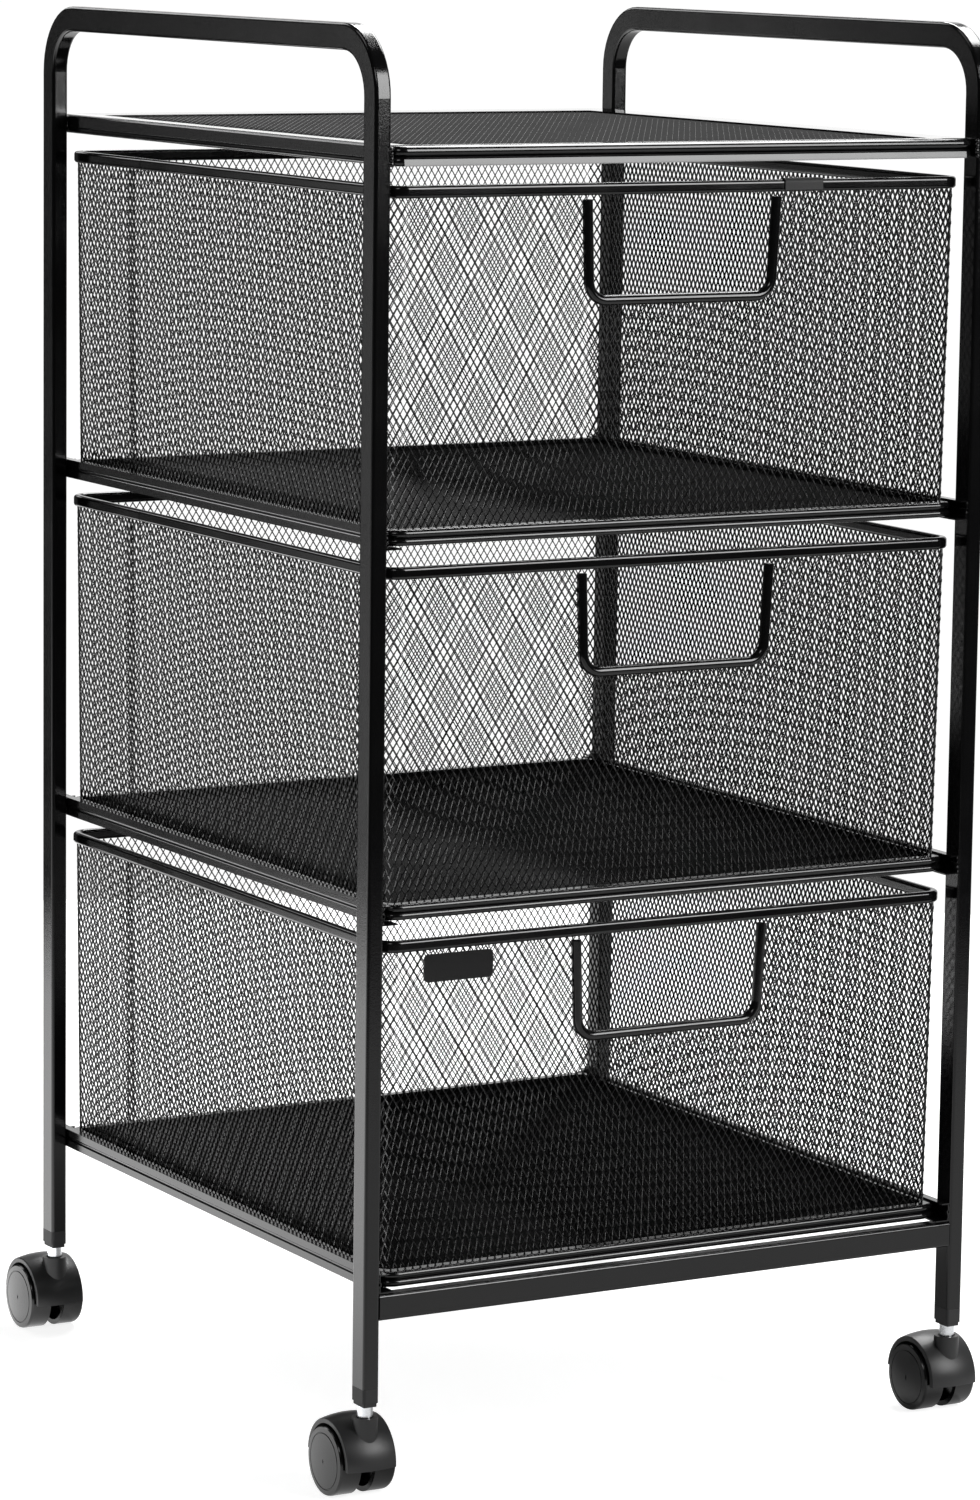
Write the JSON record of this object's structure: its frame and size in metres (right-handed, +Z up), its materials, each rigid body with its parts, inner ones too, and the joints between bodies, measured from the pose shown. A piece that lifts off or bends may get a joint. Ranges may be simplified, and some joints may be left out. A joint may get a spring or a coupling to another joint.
{
  "type": "rolling drawer cart",
  "caption": "Rolling cart with bent-tube side frames that rise as handle bars, a mesh top shelf, sliding mesh drawers with hand openings, and twin-wheel swivel casters.",
  "frame": {"origin": "on the floor under the middle of the cart's bounding box, with the wheels trailing behind their stems", "axes": "+Z up, -Y toward the front that the drawers pull out of, +X to the right of someone who faces the front"},
  "size_m": [0.4338, 0.4659, 0.828],
  "materials": {
    "powder_coated_steel": "satin black powder coat",
    "mesh_steel": "satin black powder coat on expanded mesh",
    "caster_plastic": "satin black moulded plastic",
    "zinc": "bright zinc plate"
  },
  "bodies": {
    "cart frame": {"left_side_frame": "powder_coated_steel", "right_side_frame": "powder_coated_steel", "front_crossbar": "powder_coated_steel", "left_lower_runner": "powder_coated_steel", "left_middle_runner": "powder_coated_steel", "left_upper_runner": "powder_coated_steel", "right_lower_runner": "powder_coated_steel", "right_middle_runner": "powder_coated_steel", "right_upper_runner": "powder_coated_steel", "top_shelf_rim": "powder_coated_steel", "top_shelf_mesh": "mesh_steel", "front_left_leg_plug": "caster_plastic", "front_left_stem": "zinc", "front_right_leg_plug": "caster_plastic", "front_right_stem": "zinc", "rear_left_leg_plug": "caster_plastic", "rear_left_stem": "zinc", "rear_right_leg_plug": "caster_plastic", "rear_right_stem": "zinc"},
    "bottom drawer": {"bottom_drawer_top_rim": "powder_coated_steel", "bottom_drawer_base_rim": "powder_coated_steel", "bottom_drawer_floor_mesh": "mesh_steel", "bottom_drawer_front_mesh": "mesh_steel", "bottom_drawer_rear_mesh": "mesh_steel", "bottom_drawer_left_mesh": "mesh_steel", "bottom_drawer_right_mesh": "mesh_steel", "bottom_drawer_handle": "powder_coated_steel", "bottom_drawer_plate": "powder_coated_steel"},
    "middle drawer": {"middle_drawer_top_rim": "powder_coated_steel", "middle_drawer_base_rim": "powder_coated_steel", "middle_drawer_floor_mesh": "mesh_steel", "middle_drawer_front_mesh": "mesh_steel", "middle_drawer_rear_mesh": "mesh_steel", "middle_drawer_left_mesh": "mesh_steel", "middle_drawer_right_mesh": "mesh_steel", "middle_drawer_handle": "powder_coated_steel"},
    "top drawer": {"top_drawer_top_rim": "powder_coated_steel", "top_drawer_base_rim": "powder_coated_steel", "top_drawer_floor_mesh": "mesh_steel", "top_drawer_front_mesh": "mesh_steel", "top_drawer_rear_mesh": "mesh_steel", "top_drawer_left_mesh": "mesh_steel", "top_drawer_right_mesh": "mesh_steel", "top_drawer_handle": "powder_coated_steel"},
    "front left caster": {"front_left_hood": "caster_plastic", "front_left_axle": "zinc"},
    "front left outer wheel": {"front_left_outer_wheel": "caster_plastic"},
    "front left inner wheel": {"front_left_inner_wheel": "caster_plastic"},
    "front right caster": {"front_right_hood": "caster_plastic", "front_right_axle": "zinc"},
    "front right outer wheel": {"front_right_outer_wheel": "caster_plastic"},
    "front right inner wheel": {"front_right_inner_wheel": "caster_plastic"},
    "rear left caster": {"rear_left_hood": "caster_plastic", "rear_left_axle": "zinc"},
    "rear left outer wheel": {"rear_left_outer_wheel": "caster_plastic"},
    "rear left inner wheel": {"rear_left_inner_wheel": "caster_plastic"},
    "rear right caster": {"rear_right_hood": "caster_plastic", "rear_right_axle": "zinc"},
    "rear right outer wheel": {"rear_right_outer_wheel": "caster_plastic"},
    "rear right inner wheel": {"rear_right_inner_wheel": "caster_plastic"}
  },
  "joints": [
    {"name": "bottom_drawer_slide", "type": "slide", "parent": "cart frame", "child": "bottom drawer", "axis": [0, -1, 0], "range_m": [0, 0.27]},
    {"name": "middle_drawer_slide", "type": "slide", "parent": "cart frame", "child": "middle drawer", "axis": [0, -1, 0], "range_m": [0, 0.27]},
    {"name": "top_drawer_slide", "type": "slide", "parent": "cart frame", "child": "top drawer", "axis": [0, -1, 0], "range_m": [0, 0.27]},
    {"name": "front_left_swivel", "type": "hinge", "parent": "cart frame", "child": "front left caster", "pos_m": [-0.198, -0.2215, 0.0503], "axis": [0, 0, 1], "continuous": true},
    {"name": "front_left_outer_wheel_spin", "type": "hinge", "parent": "front left caster", "child": "front left outer wheel", "pos_m": [-0.2097, -0.2065, 0.02], "axis": [1, 0, 0], "continuous": true},
    {"name": "front_left_inner_wheel_spin", "type": "hinge", "parent": "front left caster", "child": "front left inner wheel", "pos_m": [-0.1863, -0.2065, 0.02], "axis": [1, 0, 0], "continuous": true},
    {"name": "front_right_swivel", "type": "hinge", "parent": "cart frame", "child": "front right caster", "pos_m": [0.198, -0.2215, 0.0503], "axis": [0, 0, 1], "continuous": true},
    {"name": "front_right_outer_wheel_spin", "type": "hinge", "parent": "front right caster", "child": "front right outer wheel", "pos_m": [0.2097, -0.2065, 0.02], "axis": [1, 0, 0], "continuous": true},
    {"name": "front_right_inner_wheel_spin", "type": "hinge", "parent": "front right caster", "child": "front right inner wheel", "pos_m": [0.1863, -0.2065, 0.02], "axis": [1, 0, 0], "continuous": true},
    {"name": "rear_left_swivel", "type": "hinge", "parent": "cart frame", "child": "rear left caster", "pos_m": [-0.198, 0.1915, 0.0503], "axis": [0, 0, 1], "continuous": true},
    {"name": "rear_left_outer_wheel_spin", "type": "hinge", "parent": "rear left caster", "child": "rear left outer wheel", "pos_m": [-0.2097, 0.2065, 0.02], "axis": [1, 0, 0], "continuous": true},
    {"name": "rear_left_inner_wheel_spin", "type": "hinge", "parent": "rear left caster", "child": "rear left inner wheel", "pos_m": [-0.1863, 0.2065, 0.02], "axis": [1, 0, 0], "continuous": true},
    {"name": "rear_right_swivel", "type": "hinge", "parent": "cart frame", "child": "rear right caster", "pos_m": [0.198, 0.1915, 0.0503], "axis": [0, 0, 1], "continuous": true},
    {"name": "rear_right_outer_wheel_spin", "type": "hinge", "parent": "rear right caster", "child": "rear right outer wheel", "pos_m": [0.2097, 0.2065, 0.02], "axis": [1, 0, 0], "continuous": true},
    {"name": "rear_right_inner_wheel_spin", "type": "hinge", "parent": "rear right caster", "child": "rear right inner wheel", "pos_m": [0.1863, 0.2065, 0.02], "axis": [1, 0, 0], "continuous": true}
  ]
}
